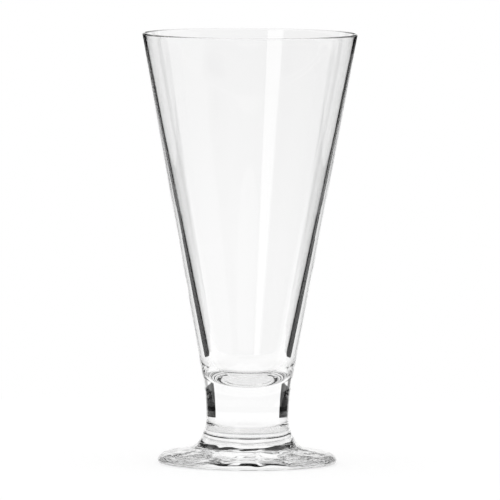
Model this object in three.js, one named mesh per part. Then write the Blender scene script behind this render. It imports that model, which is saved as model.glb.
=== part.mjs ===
// A tall footed sundae glass of clear soda-lime glass.
// It is made as stemware is: a bowl, a solid stem and a round foot, joined hot.
// Each piece is a turned profile about the Z axis, and the joints are flat discs.
// Millimetres, +Z up. The origin is on the axis, on the plane that the foot rests on.
import * as THREE from "three";

// Bowl
const overallHeight = 180;
const rimDiameter = 90;
const rimWall = 1.3; // at the lip, square to the wall
const heelWall = 4.4; // where the bottom of the inside starts to close in, square to the wall
const wallBendHeight = 150; // about here the wall starts to thicken, above the table
const bottomDepth = 13.5; // of the part of the inside that closes in
const bottomFullness = 0.63; // 0.55 makes that part round, and more makes its floor flatter
const bowlBase = 5.4; // glass between the lowest point of the inside and the stem joint

// Stem
const stemDiameter = 34.4;
const stemStraight = 1; // parallel length between the two sweeps
const waistSweepRadius = 80; // hollow sweep from the stem up into the bowl
const flareRadius = 16; // hollow sweep from the stem down to the foot
const flareAngle = 45 * THREE.MathUtils.DEG2RAD; // how far the flare has turned at the foot joint

// Foot
const footDiameter = 75;
const footSlope = 11.3 * THREE.MathUtils.DEG2RAD; // fall of the top face, from the level
const footToeRadius = 4.5; // from the flare onto the top face
const footEdgeRadius = 3; // upper round of the edge
const footHeelRadius = 1.2; // lower round of the edge
const bearingWidth = 5; // flat ring that the glass stands on
const footRecess = 1.5; // depth of the hollow underside at its middle

// Facets
const facetsRound = 72;
const facetsSweep = 4;
const facetsFlare = 6;
const facetsLip = 4; // on each side of the lip's top
const facetsWall = 9;
const facetsBottom = 9;
const facetsEdge = 5;
const facetsRecess = 5;
const samePoint = 1e-6;

const { sin, cos, tan, acos, atan2, hypot, PI } = Math;

// Radius and height of a point of a profile.
const at = (radius, height) => new THREE.Vector2(radius, height);

// The points of an arc, its angles counted from the radial direction.
function arc(centre, radius, start, end, facets) {
  const curve = new THREE.ArcCurve(centre.x, centre.y, radius, start, end, end < start);
  return curve.getPoints(facets);
}

// Joins stretches into one profile, which runs from the axis out, up and back to the axis.
function profile(...stretches) {
  const points = [];
  for (const point of stretches.flat()) {
    const last = points.at(-1);
    if (!last || last.distanceTo(point) > samePoint) points.push(point);
  }
  return points;
}

// Turns a profile about the Z axis.
function turned(name, points, material) {
  const geometry = new THREE.LatheGeometry(points, facetsRound);
  geometry.rotateX(PI / 2);
  const mesh = new THREE.Mesh(geometry, material);
  mesh.name = name;
  return mesh;
}

// Clear glass, the same melt for all three pieces.
function clearGlass(color) {
  return new THREE.MeshStandardMaterial({
    color,
    roughness: 0.03,
    metalness: 0,
    transparent: true,
    opacity: 0.35,
  });
}

// Foot joint: the stem's flare and the foot's toe meet here at the flare angle.
const stemRadius = stemDiameter / 2;
const footJointRadius = stemRadius + flareRadius * (1 - cos(flareAngle));

// Foot edge: a small round below, a larger one above that runs onto the sloping top face.
const footRadius = footDiameter / 2;
const edgeLow = at(footRadius - footHeelRadius, footHeelRadius);
const edgeHigh = at(footRadius - footEdgeRadius, footHeelRadius);
const edgeTop = at(
  edgeHigh.x + footEdgeRadius * sin(footSlope),
  edgeHigh.y + footEdgeRadius * cos(footSlope),
);

// The toe is tangent to the top face and to the flare, which sets the height of the joint.
const toeReach = footToeRadius * (sin(flareAngle) - sin(footSlope));
const toeRise = footToeRadius * (cos(footSlope) - cos(flareAngle));
const toeStart = footJointRadius + toeReach;
const footJointHeight = edgeTop.y + (edgeTop.x - toeStart) * tan(footSlope) + toeRise;
const toeCentre = at(
  footJointRadius + footToeRadius * sin(flareAngle),
  footJointHeight + footToeRadius * cos(flareAngle),
);

// The hollow underside is a shallow dome inside the bearing ring.
const ringInner = edgeLow.x - bearingWidth;
const domeRadius = (ringInner ** 2 + footRecess ** 2) / (2 * footRecess);
const domeCentre = at(0, footRecess - domeRadius);

function foot() {
  return profile(
    arc(domeCentre, domeRadius, PI / 2, acos(ringInner / domeRadius), facetsRecess),
    at(ringInner, 0),
    arc(edgeLow, footHeelRadius, -PI / 2, 0, facetsEdge),
    arc(edgeHigh, footEdgeRadius, 0, PI / 2 - footSlope, facetsEdge),
    arc(toeCentre, footToeRadius, -PI / 2 - footSlope, -PI / 2 - flareAngle, facetsEdge),
    at(footJointRadius, footJointHeight),
    at(0, footJointHeight),
  );
}

// The outside of the bowl is a straight taper, tangent to the lip's round and to the sweep.
const flareTop = footJointHeight + flareRadius * sin(flareAngle);
const waistStart = flareTop + stemStraight;
const waistCentre = at(stemRadius + waistSweepRadius, waistStart);
const lipRadius = rimWall / 2;
const lipCentre = at(rimDiameter / 2 - lipRadius, overallHeight - lipRadius);
const across = waistCentre.x - lipCentre.x;
const down = lipCentre.y - waistCentre.y;
const taper = atan2(down, across) - acos((lipRadius + waistSweepRadius) / hypot(across, down));

// Bowl joint: half of the sweep belongs to the stem and half to the bowl.
const bowlJoint = at(
  waistCentre.x - waistSweepRadius * cos(taper / 2),
  waistCentre.y + waistSweepRadius * sin(taper / 2),
);

function stem() {
  const flareCentre = at(stemRadius + flareRadius, flareTop);
  return profile(
    at(0, footJointHeight),
    at(footJointRadius, footJointHeight),
    arc(flareCentre, flareRadius, PI + flareAngle, PI, facetsFlare),
    arc(waistCentre, waistSweepRadius, PI, PI - taper / 2, facetsSweep),
    bowlJoint,
    at(0, bowlJoint.y),
  );
}

// Inside of the bowl: level with the outside down to the bend, then closing in on the axis until
// the wall has its full thickness at the heel. The bottom leaves the heel along the wall's line.
const floorHeight = bowlJoint.y + bowlBase;
const heelHeight = floorHeight + bottomDepth;
const lipOuter = at(lipCentre.x + lipRadius * cos(taper), lipCentre.y - lipRadius * sin(taper));
const lipInner = at(lipCentre.x - lipRadius * cos(taper), lipCentre.y + lipRadius * sin(taper));
const taperAtHeel = lipOuter.x - (lipOuter.y - heelHeight) * tan(taper);
const heel = at(taperAtHeel - heelWall / cos(taper), heelHeight);
const bend = at(lipInner.x - (lipInner.y - wallBendHeight) * tan(taper), wallBendHeight);
const wallLine = heel.clone().sub(bend);
const wallShare = (bottomFullness * bottomDepth) / -wallLine.y;
const wall = new THREE.QuadraticBezierCurve(lipInner, bend, heel);
const bottom = new THREE.CubicBezierCurve(
  heel,
  heel.clone().addScaledVector(wallLine, wallShare),
  at(bottomFullness * heel.x, floorHeight),
  at(0, floorHeight),
);

function bowl() {
  return profile(
    at(0, bowlJoint.y),
    bowlJoint,
    arc(waistCentre, waistSweepRadius, PI - taper / 2, PI - taper, facetsSweep),
    arc(lipCentre, lipRadius, -taper, 0, 1),
    arc(lipCentre, lipRadius, 0, PI / 2, facetsLip),
    arc(lipCentre, lipRadius, PI / 2, PI - taper, facetsLip),
    wall.getPoints(facetsWall),
    bottom.getPoints(facetsBottom),
  );
}

const sundaeGlass = new THREE.Group();
sundaeGlass.add(turned("foot", foot(), clearGlass(0xe9f0ef)));
sundaeGlass.add(turned("stem", stem(), clearGlass(0xe6eef0)));
sundaeGlass.add(turned("bowl", bowl(), clearGlass(0xeff4f4)));

export default sundaeGlass;
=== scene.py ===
import math

import bpy
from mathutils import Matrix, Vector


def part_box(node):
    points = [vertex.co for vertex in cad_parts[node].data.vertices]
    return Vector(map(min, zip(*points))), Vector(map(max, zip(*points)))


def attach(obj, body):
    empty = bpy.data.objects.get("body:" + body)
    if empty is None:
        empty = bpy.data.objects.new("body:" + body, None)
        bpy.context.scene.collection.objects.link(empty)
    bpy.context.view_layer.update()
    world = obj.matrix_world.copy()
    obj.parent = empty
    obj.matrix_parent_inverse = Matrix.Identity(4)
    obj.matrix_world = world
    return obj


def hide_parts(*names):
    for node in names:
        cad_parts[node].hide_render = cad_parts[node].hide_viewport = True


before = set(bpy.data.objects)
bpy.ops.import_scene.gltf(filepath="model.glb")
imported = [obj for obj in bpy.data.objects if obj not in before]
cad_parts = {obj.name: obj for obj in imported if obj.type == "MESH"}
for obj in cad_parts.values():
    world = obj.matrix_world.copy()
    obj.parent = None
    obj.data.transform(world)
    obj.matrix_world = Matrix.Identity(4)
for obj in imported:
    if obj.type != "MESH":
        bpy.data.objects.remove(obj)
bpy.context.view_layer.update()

# Bowl: a tall straight-sided bowl of clear soda-lime glass, thin at its lip and thick at its heel.
# It is blown in a mould and fire-polished, so its lip is round and its inside ends in a round
# bottom. The stem is joined hot to the flat of its base.
mm = 0.001
foot_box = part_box("foot")
stem_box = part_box("stem")
bowl_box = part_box("bowl")
overall_height = bowl_box[1][2]
rim_radius = bowl_box[1][0]
bowl_joint_height = stem_box[1][2]
foot_joint_height = foot_box[1][2]
stem_radius = 17.2 * mm
stem_straight = 1 * mm
flare_radius = 16 * mm
flare_angle = math.radians(45)
waist_sweep_radius = 80 * mm
lip_radius = 0.65 * mm
heel_wall = 4.4 * mm
wall_bend_height = 150 * mm
bottom_depth = 13.5 * mm
bottom_fullness = 0.63
bowl_base = 5.4 * mm


def on_circle(centre, radius, angle):
    """A point of a circle in a profile, whose points are radius and height."""
    return centre[0] + radius * math.cos(angle), centre[1] + radius * math.sin(angle)


# The taper is the line that touches both the round of the lip and the sweep into the stem.
flare_top = foot_joint_height + flare_radius * math.sin(flare_angle)
waist_centre = (stem_radius + waist_sweep_radius, flare_top + stem_straight)
lip_centre = (rim_radius - lip_radius, overall_height - lip_radius)
across = waist_centre[0] - lip_centre[0]
down = lip_centre[1] - waist_centre[1]
both_radii = lip_radius + waist_sweep_radius
taper = math.atan2(down, across) - math.acos(both_radii / math.hypot(across, down))
sweep_end = on_circle(waist_centre, waist_sweep_radius, math.pi - taper)
lip_outer = on_circle(lip_centre, lip_radius, -taper)
lip_inner = on_circle(lip_centre, lip_radius, math.pi - taper)

# The inside runs level with the outside down to the bend, then closes in to the heel and the floor.
floor_height = bowl_joint_height + bowl_base
heel_height = floor_height + bottom_depth
taper_at_heel = lip_outer[0] - (lip_outer[1] - heel_height) * math.tan(taper)
heel = (taper_at_heel - heel_wall / math.cos(taper), heel_height)
bend = (lip_inner[0] - (lip_inner[1] - wall_bend_height) * math.tan(taper), wall_bend_height)
wall_share = bottom_fullness * bottom_depth / (bend[1] - heel[1])
bottom_pull = tuple(low + (low - high) * wall_share for low, high in zip(heel, bend))
floor_pull = (bottom_fullness * heel[0], floor_height)
turns = 256
same_point = 0.0005 * mm
level_normal = 0.999
smooth_below = math.radians(30)


def arc(centre, radius, start, end, steps):
    """Points along an arc of a profile."""
    angles = [start + (end - start) * i / steps for i in range(steps + 1)]
    return [on_circle(centre, radius, angle) for angle in angles]


def bow(points, steps):
    """Points along a curve pulled by the points between its ends, or a straight line between two."""
    made = []
    for i in range(steps + 1):
        rest = list(points)
        while len(rest) > 1:
            pairs = zip(rest, rest[1:])
            rest = [tuple(a + (b - a) * i / steps for a, b in zip(*pair)) for pair in pairs]
        made.append(rest[0])
    return made


def turned(name, profile, joint_heights, materials):
    """A profile drawn by extruding one point, spun about the axis and closed.

    The second of its materials goes on the flat discs at the joint heights.
    """
    bpy.ops.object.select_all(action="DESELECT")
    bpy.ops.mesh.primitive_plane_add(size=mm)
    piece = bpy.context.object
    piece.name = name
    bpy.ops.object.mode_set(mode="EDIT")
    bpy.ops.mesh.merge(type="CENTER")
    place = profile[0]
    bpy.ops.transform.translate(value=(place[0], 0, place[1]))
    for point in profile[1:]:
        step = (point[0] - place[0], 0, point[1] - place[1])
        if math.hypot(step[0], step[2]) > same_point:
            bpy.ops.mesh.extrude_region_move(TRANSFORM_OT_translate={"value": step})
            place = point
    bpy.ops.mesh.select_all(action="SELECT")
    bpy.ops.mesh.spin(steps=turns, angle=2 * math.pi, center=(0, 0, 0), axis=(0, 0, 1))
    bpy.ops.mesh.select_all(action="SELECT")
    bpy.ops.mesh.remove_doubles(threshold=same_point)
    bpy.ops.mesh.normals_make_consistent(inside=False)
    bpy.ops.object.mode_set(mode="OBJECT")
    for material in materials:
        piece.data.materials.append(material)
    for face in piece.data.polygons:
        level = abs(face.normal.z) > level_normal
        if level and any(abs(face.center.z - height) < same_point for height in joint_heights):
            face.material_index = 1
    bpy.ops.object.shade_smooth_by_angle(angle=smooth_below)
    return piece


def linear(colour):
    """The linear colour of an sRGB hex value."""
    parts = [int(colour[i : i + 2], 16) / 255 for i in (1, 3, 5)]
    return [c / 12.92 if c <= 0.04045 else ((c + 0.055) / 1.055) ** 2.4 for c in parts] + [1]


def add_node(tree, kind, settings=None, values=None, links=None):
    """A new node with its settings, socket values and incoming links."""
    node = tree.nodes.new(kind)
    for key, value in (settings or {}).items():
        setattr(node, key, value)
    for key, value in (values or {}).items():
        node.inputs[key].default_value = value
    for key, socket in (links or {}).items():
        tree.links.new(socket, node.inputs[key])
    return node


def new_material(name):
    """A material with an empty node tree, that tree and its output node."""
    material = bpy.data.materials.new(name)
    material.use_nodes = True
    tree = material.node_tree
    tree.nodes.clear()
    return material, tree, add_node(tree, "ShaderNodeOutputMaterial")


# Fused joint: glass run hot into glass. Nothing is left there to bend or mirror the light,
# so the eye looks through it as if it weren't there.
glass_colour = linear("#FEFEFE")
glass_ior = 1.52
fused_joint, tree, output = new_material("fused_joint")
shader = add_node(
    tree,
    "ShaderNodeBsdfPrincipled",
    values={"Base Color": glass_colour, "Roughness": 0.0, "IOR": glass_ior, "Alpha": 0.0},
)
tree.links.new(shader.outputs[0], output.inputs["Surface"])

# Blown soda-lime glass: clear and glossy, with faint upright draw lines that ripple what is seen
# through it. Its colour greys slightly towards the lip, which is painted shade for the darker top of
# the bowl.
clear_glass = {
    "Base Color": glass_colour,
    "Roughness": 0.0,
    "IOR": glass_ior,
    "Transmission Weight": 1.0,
}
draw_line_width = 9 * mm
draw_line_length = 75 * mm
draw_line_relief = 0.05 * mm
draw_line_strength = 0.25
# Painted shade: the glass colour greys from this height up to the lip.
lip_shade_start = 90 * mm
unshaded_tint = 0.995
lip_shade_tint = 0.97
bowl_glass, tree, output = new_material("blown_soda_lime_glass")
where = add_node(tree, "ShaderNodeTexCoord")
stretch = add_node(
    tree,
    "ShaderNodeMapping",
    values={"Scale": (1, 1, draw_line_width / draw_line_length)},
    links={"Vector": where.outputs["Object"]},
)
draw_lines = add_node(
    tree,
    "ShaderNodeTexNoise",
    values={"Scale": 1 / draw_line_width, "Detail": 2.0, "Roughness": 0.45},
    links={"Vector": stretch.outputs[0]},
)
ripple = add_node(
    tree,
    "ShaderNodeBump",
    values={"Strength": draw_line_strength, "Distance": draw_line_relief},
    links={"Height": draw_lines.outputs[0]},
)
axes = add_node(tree, "ShaderNodeSeparateXYZ", links={0: where.outputs["Object"]})
# Painted shade: the colour darkens with height, from the start height up to the lip.
lip_shade = add_node(
    tree,
    "ShaderNodeMapRange",
    values={
        "From Min": lip_shade_start,
        "From Max": overall_height,
        "To Min": unshaded_tint,
        "To Max": lip_shade_tint,
    },
    links={"Value": axes.outputs["Z"]},
)
shader = add_node(
    tree,
    "ShaderNodeBsdfPrincipled",
    values=clear_glass,
    links={"Base Color": lip_shade.outputs["Result"], "Normal": ripple.outputs[0]},
)
tree.links.new(shader.outputs[0], output.inputs["Surface"])

bowl = turned(
    "bowl_glass",
    [(0, bowl_joint_height)]
    + arc(waist_centre, waist_sweep_radius, math.pi - taper / 2, math.pi - taper, 30)
    + bow([sweep_end, lip_outer], 12)
    + arc(lip_centre, lip_radius, -taper, math.pi - taper, 16)
    + bow([lip_inner, bend, heel], 60)
    + bow([heel, bottom_pull, floor_pull, (0, floor_height)], 48),
    [bowl_joint_height],
    [bowl_glass, fused_joint],
)
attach(bowl, "root")
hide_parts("bowl")

# Stem: a short solid waisted stem of clear soda-lime glass, drawn hot from the bowl's base.
# Its lower end is pushed down onto the foot, which leaves a flare with two slight cones in it.
flare_centre = (stem_radius + flare_radius, flare_top)
foot_joint_radius = stem_radius + flare_radius * (1 - math.cos(flare_angle))
upper_turn = math.radians(30)
lower_turn = math.radians(46.5)
upper_cone = 2.2 * mm
cone_top = on_circle(flare_centre, flare_radius, math.pi + upper_turn)
cone_end = on_circle(cone_top, upper_cone, upper_turn - math.pi / 2)

# The step between the cones has the radius that lets the lower cone end on the edge of the joint.
left_across = foot_joint_radius - cone_end[0]
left_down = cone_end[1] - foot_joint_height
turn_across = math.cos(upper_turn) - math.cos(lower_turn)
turn_down = math.sin(lower_turn) - math.sin(upper_turn)
left_off_cone = left_across * math.cos(lower_turn) - left_down * math.sin(lower_turn)
turn_off_cone = turn_across * math.cos(lower_turn) - turn_down * math.sin(lower_turn)
step_radius = left_off_cone / turn_off_cone
step_centre = on_circle(cone_end, step_radius, upper_turn)

# Drawn soda-lime glass: as clear as the bowl, with the same faint ripple. It is softly uneven at
# its lower end, where the hot glass sagged onto the foot, so the reflections waver there.
sag_width = 16 * mm
sag_relief = 1.1 * mm
sag_top = 13 * mm
sag_full = 8 * mm
stem_glass, tree, output = new_material("drawn_soda_lime_glass")
where = add_node(tree, "ShaderNodeTexCoord")
axes = add_node(tree, "ShaderNodeSeparateXYZ", links={0: where.outputs["Object"]})
low_end = add_node(
    tree,
    "ShaderNodeMapRange",
    values={"From Min": sag_top, "From Max": sag_full, "To Min": 0.0, "To Max": 1.0},
    links={"Value": axes.outputs["Z"]},
)
sag = add_node(
    tree,
    "ShaderNodeTexNoise",
    values={"Scale": 1 / sag_width, "Detail": 1.0},
    links={"Vector": where.outputs["Object"]},
)
sag_bump = add_node(
    tree,
    "ShaderNodeBump",
    values={"Distance": sag_relief},
    links={"Height": sag.outputs[0], "Strength": low_end.outputs[0]},
)
draw_lines = add_node(
    tree,
    "ShaderNodeTexNoise",
    values={"Scale": 1 / draw_line_width, "Detail": 2.0, "Roughness": 0.45},
    links={"Vector": where.outputs["Object"]},
)
ripple = add_node(
    tree,
    "ShaderNodeBump",
    values={"Strength": draw_line_strength, "Distance": draw_line_relief},
    links={"Height": draw_lines.outputs[0], "Normal": sag_bump.outputs[0]},
)
shader = add_node(
    tree, "ShaderNodeBsdfPrincipled", values=clear_glass, links={"Normal": ripple.outputs[0]}
)
tree.links.new(shader.outputs[0], output.inputs["Surface"])

stem = turned(
    "stem_glass",
    [(0, foot_joint_height), (foot_joint_radius, foot_joint_height)]
    + arc(step_centre, step_radius, math.pi + lower_turn, math.pi + upper_turn, 20)
    + arc(flare_centre, flare_radius, math.pi + upper_turn, math.pi, 40)
    + arc(waist_centre, waist_sweep_radius, math.pi, math.pi - taper / 2, 30)
    + [(0, bowl_joint_height)],
    [foot_joint_height, bowl_joint_height],
    [stem_glass, fused_joint],
)
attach(stem, "root")
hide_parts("stem")

# Foot: a round foot of clear soda-lime glass, pressed hot in a mould and joined to the stem.
# Its top slopes to a rounded edge, and its underside is hollow inside a flat bearing ring.
# The pressing leaves the top in low swells, a few tenths of a millimetre high.
foot_radius = foot_box[1][0]
foot_slope = math.radians(11.3)
foot_toe_radius = 4.5 * mm
foot_edge_radius = 3 * mm
foot_heel_radius = 1.2 * mm
bearing_width = 5 * mm
foot_recess = 1.5 * mm
edge_low = (foot_radius - foot_heel_radius, foot_heel_radius)
edge_high = (foot_radius - foot_edge_radius, foot_heel_radius)
toe_centre = (
    foot_joint_radius + foot_toe_radius * math.sin(flare_angle),
    foot_joint_height + foot_toe_radius * math.cos(flare_angle),
)
ring_inner = edge_low[0] - bearing_width
dome_radius = (ring_inner**2 + foot_recess**2) / (2 * foot_recess)
dome_centre = (0, foot_recess - dome_radius)

# Pressed soda-lime glass, on the top: clear, with faint uneven rings and dimples from the mould,
# which break what is seen through it into short streaks.
ring_spacing = 4.5 * mm
ring_relief = 0.05 * mm
dimple_width = 6 * mm
dimple_relief = 0.15 * mm
wave_turn = 20
foot_glass, tree, output = new_material("pressed_soda_lime_glass")
where = add_node(tree, "ShaderNodeTexCoord")
dimples = add_node(
    tree,
    "ShaderNodeTexNoise",
    values={"Scale": 1 / dimple_width, "Detail": 1.0},
    links={"Vector": where.outputs["Object"]},
)
dimple_bump = add_node(
    tree,
    "ShaderNodeBump",
    values={"Strength": 1.0, "Distance": dimple_relief},
    links={"Height": dimples.outputs[0]},
)
# A wave texture turns through wave_turn radians in each unit of its scaled length.
rings = add_node(
    tree,
    "ShaderNodeTexWave",
    {"wave_type": "RINGS", "rings_direction": "Z", "wave_profile": "SIN"},
    values={
        "Scale": 2 * math.pi / wave_turn / ring_spacing,
        "Distortion": 5.0,
        "Detail": 1.0,
        "Detail Scale": 0.5,
        "Detail Roughness": 0.5,
    },
    links={"Vector": where.outputs["Object"]},
)
ring_bump = add_node(
    tree,
    "ShaderNodeBump",
    values={"Strength": 1.0, "Distance": ring_relief},
    links={"Height": rings.outputs["Fac"], "Normal": dimple_bump.outputs[0]},
)
shader = add_node(
    tree, "ShaderNodeBsdfPrincipled", values=clear_glass, links={"Normal": ring_bump.outputs[0]}
)
tree.links.new(shader.outputs[0], output.inputs["Surface"])

# Smooth soda-lime glass, on the underside: clear and plain, because it was pressed on a plate.
# The tables that it has stood on have scuffed patches of its bearing ring matt.
ring_level = 0.02 * mm
off_ring_level = 0.1 * mm
scuff_width = 11 * mm
scuff_start = 0.56
scuff_full = 0.62
scuff_roughness = 0.4
underside_glass, tree, output = new_material("smooth_soda_lime_glass")
where = add_node(tree, "ShaderNodeTexCoord")
axes = add_node(tree, "ShaderNodeSeparateXYZ", links={0: where.outputs["Object"]})
on_ring = add_node(
    tree,
    "ShaderNodeMapRange",
    values={"From Min": off_ring_level, "From Max": ring_level, "To Min": 0.0, "To Max": 1.0},
    links={"Value": axes.outputs["Z"]},
)
scuffs = add_node(
    tree,
    "ShaderNodeTexNoise",
    values={"Scale": 1 / scuff_width, "Detail": 3.0, "Roughness": 0.6},
    links={"Vector": where.outputs["Object"]},
)
patches = add_node(
    tree,
    "ShaderNodeMapRange",
    values={
        "From Min": scuff_start,
        "From Max": scuff_full,
        "To Min": 0.0,
        "To Max": scuff_roughness,
    },
    links={"Value": scuffs.outputs[0]},
)
wear = add_node(
    tree,
    "ShaderNodeMath",
    {"operation": "MULTIPLY"},
    links={0: on_ring.outputs[0], 1: patches.outputs[0]},
)
shader = add_node(
    tree, "ShaderNodeBsdfPrincipled", values=clear_glass, links={"Roughness": wear.outputs[0]}
)
tree.links.new(shader.outputs[0], output.inputs["Surface"])

edge = arc(edge_high, foot_edge_radius, 0, math.pi / 2 - foot_slope, 24)
toe = arc(toe_centre, foot_toe_radius, -math.pi / 2 - foot_slope, -math.pi / 2 - flare_angle, 30)
foot = turned(
    "foot_glass",
    arc(dome_centre, dome_radius, math.pi / 2, math.acos(ring_inner / dome_radius), 30)
    + arc(edge_low, foot_heel_radius, -math.pi / 2, 0, 12)
    + edge
    + bow([edge[-1], toe[0]], 14)
    + toe
    + [(0, foot_joint_height)],
    [foot_joint_height],
    [foot_glass, fused_joint, underside_glass],
)
swell_width = 10 * mm
swell_relief = 0.9 * mm
edge_fade = 2 * mm
joint_fade = 1.5 * mm
pressed_top = foot.vertex_groups.new(name="pressed_top")
for vertex in foot.data.vertices:
    above_edge = (vertex.co.z - foot_heel_radius) / edge_fade
    below_joint = (foot_joint_height - vertex.co.z) / joint_fade
    weight = min(1, above_edge, below_joint)
    if weight > 0 and math.hypot(vertex.co.x, vertex.co.y) > foot_joint_radius:
        pressed_top.add([vertex.index], weight, "REPLACE")
swells = bpy.data.textures.new("foot_swell", "CLOUDS")
swells.noise_scale = swell_width
swells.noise_depth = 1
pressing = foot.modifiers.new("swell", "DISPLACE")
pressing.texture = swells
pressing.texture_coords = "LOCAL"
pressing.vertex_group = pressed_top.name
pressing.strength = swell_relief
pressing.mid_level = 0.5
bpy.ops.object.modifier_apply(modifier=pressing.name)
facing_down = -0.5
underside_slot = foot.data.materials.find(underside_glass.name)
for face in foot.data.polygons:
    if face.normal.z < facing_down:
        face.material_index = underside_slot
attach(foot, "root")
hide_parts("foot")

# Paper: the sheet of white paper under the glass, wide in front of it and narrow behind it.
# It lies just below the bearing ring, so that the two don't touch.
paper_gap = 0.2 * mm
paper_back = 0.3
neck_half_width = 0.134
neck_start = 0.05
front_half_width = 0.7
front_start = -0.15
paper_front = -0.8
right_edge = [
    (neck_half_width, paper_back),
    (neck_half_width, neck_start),
    (front_half_width, front_start),
    (front_half_width, paper_front),
]
outline = [(-x, y) for x, y in right_edge] + right_edge[::-1]
bpy.ops.object.select_all(action="DESELECT")
bpy.ops.mesh.primitive_circle_add(vertices=len(outline), radius=1, fill_type="NGON")
table = bpy.context.object
table.name = "table"
for vertex, (x, y) in zip(table.data.vertices, outline):
    vertex.co = (x, y, -paper_gap)


def traced_from_camera(tree):
    """The socket that is 1 for light that the camera sees, straight or by way of the glass."""
    path = add_node(tree, "ShaderNodeLightPath")
    straight_or_mirrored = add_node(
        tree,
        "ShaderNodeMath",
        {"operation": "MAXIMUM"},
        links={0: path.outputs["Is Camera Ray"], 1: path.outputs["Is Glossy Ray"]},
    )
    seen = add_node(
        tree,
        "ShaderNodeMath",
        {"operation": "MAXIMUM"},
        links={0: straight_or_mirrored.outputs[0], 1: path.outputs["Is Transmission Ray"]},
    )
    return seen.outputs[0]


# White paper: matt, and so well lit that it nearly melts into the white behind it.
# Only a faint shadow is left on it, round the foot.
paper_glow = 0.72
white_paper, tree, output = new_material("white_paper")
glow = add_node(
    tree,
    "ShaderNodeMath",
    {"operation": "MULTIPLY"},
    values={1: paper_glow},
    links={0: traced_from_camera(tree)},
)
matt = add_node(tree, "ShaderNodeBsdfDiffuse", values={"Color": linear("#A6A6A6")})
light = add_node(tree, "ShaderNodeEmission", links={"Strength": glow.outputs[0]})
both = add_node(tree, "ShaderNodeAddShader", links={0: matt.outputs[0], 1: light.outputs[0]})
tree.links.new(both.outputs[0], output.inputs["Surface"])
table.data.materials.append(white_paper)

# Room: an even white surround, as a photographer lights clear glass.
# It is full white where it is seen, and lights the paper a little less.
white = (1, 1, 1, 1)
room_light = 0.8
room_seen = 1.0
world = bpy.data.worlds.new("white_studio")
bpy.context.scene.world = world
world.use_nodes = True
tree = world.node_tree
tree.nodes.clear()
output = add_node(tree, "ShaderNodeOutputWorld")
room = add_node(tree, "ShaderNodeBackground", values={"Color": white, "Strength": room_light})
backdrop = add_node(tree, "ShaderNodeBackground", values={"Color": white, "Strength": room_seen})
mix = add_node(
    tree,
    "ShaderNodeMixShader",
    links={0: traced_from_camera(tree), 1: room.outputs[0], 2: backdrop.outputs[0]},
)
tree.links.new(mix.outputs[0], output.inputs["Surface"])

# Floor strips: two long strips of black card on the studio's floor, left and right behind the
# table. The wall of the bowl mirrors them inside itself as the dark lines along its sides.
# Each runs straight back past the table, and then swings outwards at its bend.
floor_drop = 0.75
strip_width = 1.3
strip_aside = 1.8
strip_swing = 1.0
strip_near = 0.7
strip_bend = 4.0
strip_far = 10.0
sides = ((-1, "left"), (1, "right"))
black = "#080808"
one_reflection = 0.5


def sheet(name, corners, material):
    """A flat sheet of four corners, which only the glass sees."""
    bpy.ops.object.select_all(action="DESELECT")
    bpy.ops.mesh.primitive_plane_add(size=1)
    made = bpy.context.object
    made.name = name
    for vertex, corner in zip(made.data.vertices, corners):
        vertex.co = corner
    made.data.materials.append(material)
    made.visible_camera = False
    made.visible_diffuse = False
    made.visible_shadow = False


def choosy_card(name, colour, depth, test, limit):
    """A card that shows to the light whose depth passes the test, and lets other light through.

    A depth is a whole number, so a limit stands halfway between two of them.
    """
    material, tree, output = new_material(name)
    path = add_node(tree, "ShaderNodeLightPath")
    shown = add_node(
        tree,
        "ShaderNodeMath",
        {"operation": test},
        values={1: limit},
        links={0: path.outputs[depth]},
    )
    unseen = add_node(tree, "ShaderNodeBsdfTransparent")
    shade = add_node(tree, "ShaderNodeEmission", values={"Color": linear(colour)})
    mix = add_node(
        tree,
        "ShaderNodeMixShader",
        links={0: shown.outputs[0], 1: unseen.outputs[0], 2: shade.outputs[0]},
    )
    tree.links.new(mix.outputs[0], output.inputs["Surface"])
    return material


def mirrored_card(name, colour):
    """A card that shows only in reflections, so that the bowl stays clear to look through."""
    return choosy_card(name, colour, "Glossy Depth", "GREATER_THAN", one_reflection)


# Black floor card: matt black, which gives the glass its dark lines.
floor_card = mirrored_card("black_floor_card", black)
for side, name in sides:
    near_end, bend, far_end = (
        [(side * x, back, -floor_drop) for x in (inner, inner + strip_width)]
        for inner, back in (
            (strip_aside, strip_near),
            (strip_aside, strip_bend),
            (strip_aside + strip_swing, strip_far),
        )
    )
    sheet(name + "_floor_near", near_end + bend, floor_card)
    sheet(name + "_floor_far", bend + far_end, floor_card)

# Flags: two small dark cards close behind the glass, which lean against the slope of its sides.
# They make the dark lines firm in the upper half of the bowl, a little less on the left.
flag_distance = 0.12
flag_low = 0.08
flag_high = 0.185
low_edges = (0.085, 0.13)
high_edges = (0.066, 0.115)

# Flag card: matt, dark grey on the left and black on the right.
flag_colours = {"left": "#202020", "right": black}
for side, name in sides:
    low_corners = [(side * x, flag_distance, flag_low) for x in low_edges]
    high_corners = [(side * x, flag_distance, flag_high) for x in high_edges]
    flag_card = mirrored_card(name + "_flag_card", flag_colours[name])
    sheet(name + "_flag", low_corners + high_corners, flag_card)

# Stem cards: two low black cards that stand beside the glass, a little behind it.
# They show only through the solid glass, as the dark bars at the stem's left and right.
stem_card_azimuth = 58.5
stem_card_distance = 0.15
stem_card_width = 0.128
stem_card_top = 0.062
solid_glass_crossings = 2.5


def upright(name, azimuth, distance, width, low, high, material):
    """An upright card that faces the glass, azimuth counted from straight behind it to the right."""
    turn = math.radians(azimuth)
    middle = (distance * math.sin(turn), distance * math.cos(turn))
    reach = (width / 2 * math.cos(turn), -width / 2 * math.sin(turn))
    ends = [(middle[0] + side * reach[0], middle[1] + side * reach[1]) for side in (-1, 1)]
    sheet(name, [(*end, height) for height in (low, high) for end in ends], material)


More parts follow.
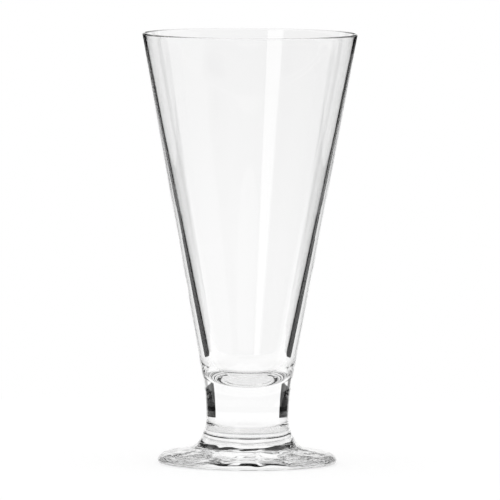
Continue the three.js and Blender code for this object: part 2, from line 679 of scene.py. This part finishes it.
# Black stem card: matt black. Light that has crossed the two walls of the hollow bowl passes it by.
stem_card = choosy_card(
    "black_stem_card", black, "Transmission Depth", "LESS_THAN", solid_glass_crossings
)
for side, name in sides:
    upright(
        name + "_card",
        side * stem_card_azimuth,
        stem_card_distance,
        stem_card_width,
        0,
        stem_card_top,
        stem_card,
    )

# Walls: the studio's dim walls to the left, the right and behind the camera, black above.
# The bowl mirrors them faintly, which greys it a little, more on one side than on the other.
wall_half_width = 5
wall_back = 3
wall_front = -5
wall_low = 0.5
wall_middle = 1.8
wall_high = 7
wall_ends = (
    ("left", (-wall_half_width, wall_front), (-wall_half_width, wall_back)),
    ("right", (wall_half_width, wall_front), (wall_half_width, wall_back)),
    ("front", (-wall_half_width, wall_front), (wall_half_width, wall_front)),
)


def even_card(name, colour, strength=1.0):
    """A card of one even tone."""
    material, tree, output = new_material(name)
    shade = add_node(
        tree, "ShaderNodeEmission", values={"Color": linear(colour), "Strength": strength}
    )
    tree.links.new(shade.outputs[0], output.inputs["Surface"])
    return material


# Black card: matt black. Graded wall: matt grey, dark on the left and lighter to the right.
black_card = even_card("black_card", black)
wall_fade_end = 1.0
wall_dark = 0.1
wall_light = 0.55
graded_wall, tree, output = new_material("graded_wall")
where = add_node(tree, "ShaderNodeTexCoord")
axes = add_node(tree, "ShaderNodeSeparateXYZ", links={0: where.outputs["Object"]})
shade = add_node(
    tree,
    "ShaderNodeMapRange",
    values={
        "From Min": -wall_half_width,
        "From Max": wall_fade_end,
        "To Min": wall_dark,
        "To Max": wall_light,
    },
    links={"Value": axes.outputs["X"]},
)
light = add_node(tree, "ShaderNodeEmission", links={"Strength": shade.outputs[0]})
tree.links.new(light.outputs[0], output.inputs["Surface"])
for name, *ends in wall_ends:
    lower = [(*end, height) for height in (wall_low, wall_middle) for end in ends]
    upper = [(*end, height) for height in (wall_middle, wall_high) for end in ends]
    sheet(name + "_wall", lower, graded_wall)
    sheet(name + "_upper_wall", upper, black_card)

# Valance: a black card that hangs behind the glass, above the picture, with panels over it.
# The foot and the flare bend it into their dark dabs, and the gaps break those up.
valance_distance = 0.8
valance_low = 0.27
valance_high = 0.42
panel_high = 0.9
valance_span = (-0.8, 0.8)
panel_spans = (("left", (-0.8, -0.22)), ("middle", (-0.14, 0.09)), ("right", (0.22, 0.8)))
valance = [(x, valance_distance, z) for z in (valance_low, valance_high) for x in valance_span]
sheet("valance", valance, black_card)
for name, span in panel_spans:
    panel = [(x, valance_distance, z) for z in (valance_high, panel_high) for x in span]
    sheet(name + "_valance", panel, black_card)

# Camera side: the dim end of the studio round the camera, which only reflections show.
# What the glass mirrors back towards the camera is then grey and not white.
camera_side_place = -4.9
camera_side_span = (-2.6, 2.6)
camera_side_heights = (-floor_drop, 0.6)

# Dim camera side: matt and mid grey.
camera_card = mirrored_card("dim_camera_side", "#606060")
camera_side = [(x, camera_side_place, z) for z in camera_side_heights for x in camera_side_span]
sheet("camera_side", camera_side, camera_card)

# Strip softbox: a tall lamp with a white front, to the left of the camera.
# The inside of the bowl mirrors it as the pale upright band right of the middle.
lamp_azimuth = 209
lamp_distance = 3.0
lamp_width = 0.95
lamp_low = 0.4
lamp_high = 1.4
lamp_strength = 1.3

# Lit lamp front: even white cloth, a little brighter than the room.
lit_front = even_card("lit_lamp_front", "#FFFFFF", lamp_strength)
upright("strip_softbox", lamp_azimuth, lamp_distance, lamp_width, lamp_low, lamp_high, lit_front)

# Camera: a long lens some way above the rim, aimed at the middle of the glass and rolled slightly,
# as the photographer's was. The picture's width is what it takes in at the glass.
stand_off = 4.0
camera_height = 0.375
aim = (0.61 * mm, 0, 89.3 * mm)
roll = math.radians(0.388)
picture_width = 209.12 * mm
camera_data = bpy.data.cameras.new("camera")
camera = bpy.data.objects.new("camera", camera_data)
scene = bpy.context.scene
scene.collection.objects.link(camera)
scene.camera = camera
rise = camera_height - aim[2]
camera.location = (aim[0], -stand_off, camera_height)
camera.rotation_mode = "XYZ"
camera.rotation_euler = (math.pi / 2 - math.atan2(rise, stand_off), 0, 0)
camera.rotation_euler.rotate_axis("Z", roll)
camera_data.sensor_width = 36
camera_data.lens = camera_data.sensor_width * math.hypot(rise, stand_off) / picture_width
camera_data.clip_end = 50
camera_data.dof.use_dof = False

# Light is followed through every wall and turn of the glass, so that none of it ends in black.
glass_bounces = 96
scene.view_settings.view_transform = "Standard"
scene.cycles.max_bounces = glass_bounces
scene.cycles.glossy_bounces = glass_bounces
scene.cycles.transmission_bounces = glass_bounces
scene.cycles.transparent_max_bounces = glass_bounces
